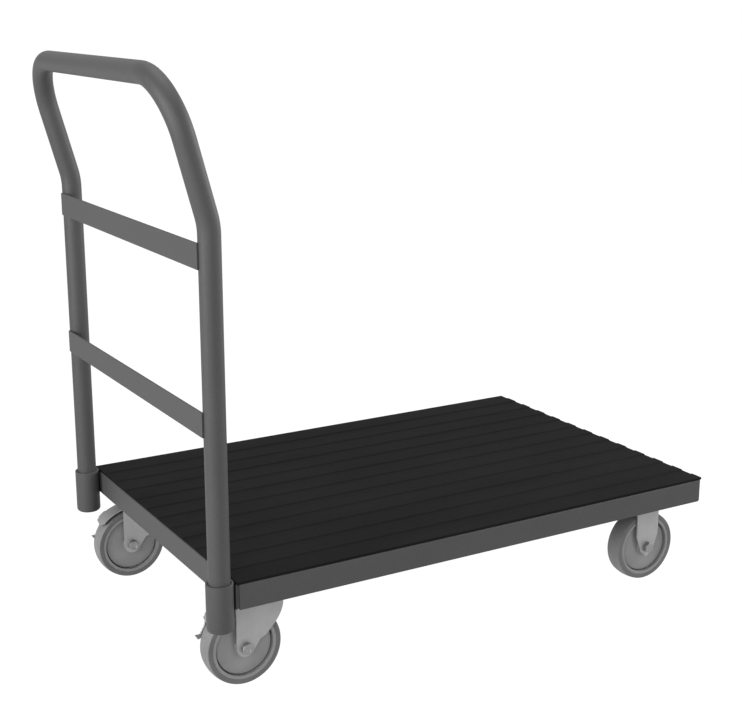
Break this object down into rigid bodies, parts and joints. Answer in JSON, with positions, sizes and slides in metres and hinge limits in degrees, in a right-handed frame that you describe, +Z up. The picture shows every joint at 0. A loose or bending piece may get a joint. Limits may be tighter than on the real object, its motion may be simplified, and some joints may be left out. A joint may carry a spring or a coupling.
{
  "type": "platform cart",
  "caption": "Flat steel platform cart with a ribbed rubber deck mat, a lift-out tubular push handle in sockets, braked swivel casters at the handle end and rigid casters in front.",
  "frame": {"origin": "on the floor, under the middle of the whole cart's box", "axes": "+X towards the front, where the rigid casters are; +Y to the left; +Z up"},
  "size_m": [1.0074, 0.6216, 0.9467],
  "materials": {
    "deck_paint": "grey textured powder coat on folded steel sheet",
    "handle_paint": "grey textured powder coat on steel pipe and flat bar",
    "mat_rubber": "black ribbed rubber, matt",
    "zinc_plate": "zinc-plated pressed steel, satin",
    "bolt_steel": "zinc-plated fasteners",
    "bearing_steel": "greased bearing steel",
    "tyre_rubber": "mid-grey non-marking rubber, satin",
    "wheel_core": "grey moulded wheel core"
  },
  "bodies": {
    "deck": {"deck_tray": "deck_paint", "rubber_mat": "mat_rubber", "rear_channel": "deck_paint", "front_channel": "deck_paint", "socket_left": "deck_paint", "socket_right": "deck_paint", "plate_bolts": "bolt_steel", "plate_nuts": "bolt_steel", "swivel_plate_left": "zinc_plate", "kingpin_left": "bolt_steel", "lower_race_left": "bearing_steel", "upper_balls_left": "bearing_steel", "lower_balls_left": "bearing_steel", "rigid_plate_left": "zinc_plate", "rigid_fork_left": "zinc_plate", "rigid_axle_left": "bolt_steel", "rigid_nut_left": "bolt_steel", "rigid_sleeve_left": "bearing_steel", "swivel_plate_right": "zinc_plate", "kingpin_right": "bolt_steel", "lower_race_right": "bearing_steel", "upper_balls_right": "bearing_steel", "lower_balls_right": "bearing_steel", "rigid_plate_right": "zinc_plate", "rigid_fork_right": "zinc_plate", "rigid_axle_right": "bolt_steel", "rigid_nut_right": "bolt_steel", "rigid_sleeve_right": "bearing_steel"},
    "handle": {"handle_tube": "handle_paint", "upper_crossbar": "handle_paint", "lower_crossbar": "handle_paint"},
    "swivel_left": {"swivel_yoke_left": "zinc_plate", "swivel_axle_left": "bolt_steel", "swivel_nut_left": "bolt_steel", "swivel_sleeve_left": "bearing_steel", "brake_pin_left": "bolt_steel"},
    "brake_left": {"brake_shoe_left": "zinc_plate", "brake_lever_left": "zinc_plate"},
    "rear_wheel_left": {"rear_left_tyre": "tyre_rubber", "rear_left_core": "wheel_core", "rear_left_bearing": "bearing_steel"},
    "front_wheel_left": {"front_left_tyre": "tyre_rubber", "front_left_core": "wheel_core", "front_left_bearing": "bearing_steel"},
    "swivel_right": {"swivel_yoke_right": "zinc_plate", "swivel_axle_right": "bolt_steel", "swivel_nut_right": "bolt_steel", "swivel_sleeve_right": "bearing_steel", "brake_pin_right": "bolt_steel"},
    "brake_right": {"brake_shoe_right": "zinc_plate", "brake_lever_right": "zinc_plate"},
    "rear_wheel_right": {"rear_right_tyre": "tyre_rubber", "rear_right_core": "wheel_core", "rear_right_bearing": "bearing_steel"},
    "front_wheel_right": {"front_right_tyre": "tyre_rubber", "front_right_core": "wheel_core", "front_right_bearing": "bearing_steel"}
  },
  "joints": [
    {"name": "handle_lift", "type": "slide", "parent": "deck", "child": "handle", "axis": [0, 0, 1], "range_m": [0, 0.07]},
    {"name": "swivel_left_turn", "type": "hinge", "parent": "deck", "child": "swivel_left", "pos_m": [-0.33843, 0.2387, 0.15], "axis": [0, 0, 1], "continuous": true},
    {"name": "rear_wheel_left_roll", "type": "hinge", "parent": "swivel_left", "child": "rear_wheel_left", "pos_m": [-0.37643, 0.2387, 0.0635], "axis": [0, 1, 0], "continuous": true},
    {"name": "brake_left_press", "type": "hinge", "parent": "swivel_left", "child": "brake_left", "pos_m": [-0.38553, 0.2387, 0.138], "axis": [0, -1, 0], "range_deg": [0, 4.5]},
    {"name": "front_wheel_left_roll", "type": "hinge", "parent": "deck", "child": "front_wheel_left", "pos_m": [0.42512, 0.2387, 0.0635], "axis": [0, 1, 0], "continuous": true},
    {"name": "swivel_right_turn", "type": "hinge", "parent": "deck", "child": "swivel_right", "pos_m": [-0.33843, -0.2387, 0.15], "axis": [0, 0, 1], "continuous": true},
    {"name": "rear_wheel_right_roll", "type": "hinge", "parent": "swivel_right", "child": "rear_wheel_right", "pos_m": [-0.37643, -0.2387, 0.0635], "axis": [0, 1, 0], "continuous": true},
    {"name": "brake_right_press", "type": "hinge", "parent": "swivel_right", "child": "brake_right", "pos_m": [-0.38553, -0.2387, 0.138], "axis": [0, -1, 0], "range_deg": [0, 8.5]},
    {"name": "front_wheel_right_roll", "type": "hinge", "parent": "deck", "child": "front_wheel_right", "pos_m": [0.42512, -0.2387, 0.0635], "axis": [0, 1, 0], "continuous": true}
  ]
}
